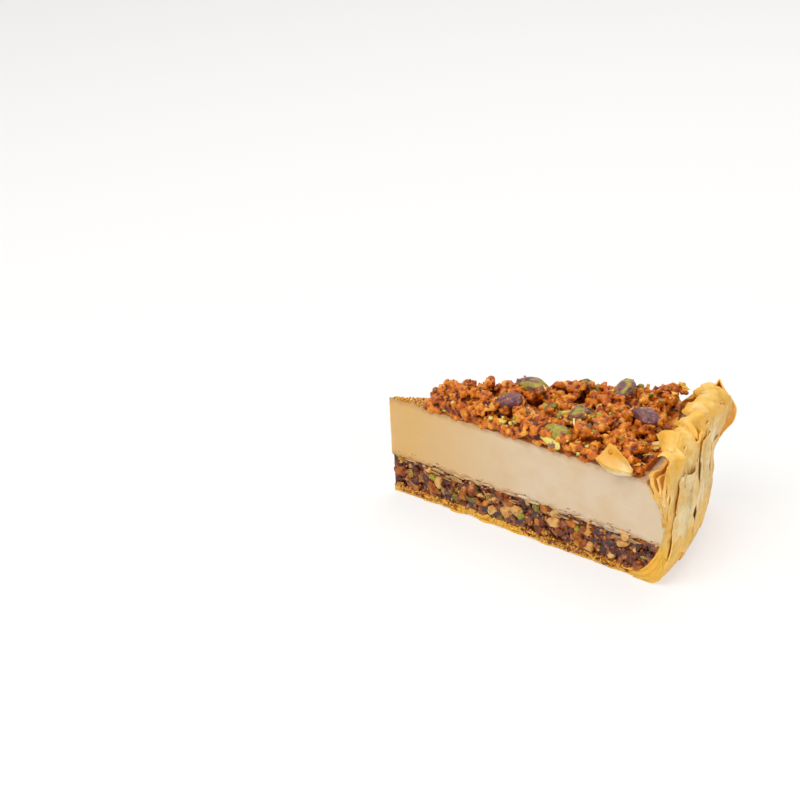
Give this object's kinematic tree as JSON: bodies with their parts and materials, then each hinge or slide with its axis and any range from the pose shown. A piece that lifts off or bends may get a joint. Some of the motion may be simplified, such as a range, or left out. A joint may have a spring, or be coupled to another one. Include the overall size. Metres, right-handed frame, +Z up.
{
  "type": "baklava cheesecake slice",
  "caption": "Wedge of cheesecake in a phyllo pastry case, with a nut filling, a baked cream layer and a caramelised nut crumble on top.",
  "frame": {"origin": "middle of the slice's footprint, on the underside of its pastry floor", "axes": "+X from the tip towards the pastry wall, along the line that halves the wedge; +Z up; the two knife cuts face -Y and +Y"},
  "size_m": [0.1286, 0.0678, 0.0591],
  "materials": {
    "phyllo": "baked golden phyllo pastry, thin flaky leaves, satin",
    "nut_filling": "chopped nuts bound with syrup, glossy where wet",
    "cream_cheese": "baked cream cheese, smooth and slightly moist at the cut",
    "crumble": "caramelised nut crumble, rough with glossy sugar",
    "pistachio": "shelled pistachio kernel with its papery skin"
  },
  "bodies": {
    "root": {"phyllo_case": "phyllo", "nut_filling": "nut_filling", "cream_cheese_layer": "cream_cheese", "nut_topping": "crumble", "pistachio_1": "pistachio", "pistachio_2": "pistachio", "pistachio_3": "pistachio", "pistachio_4": "pistachio", "pistachio_5": "pistachio", "pistachio_6": "pistachio"}
  },
  "joints": []
}
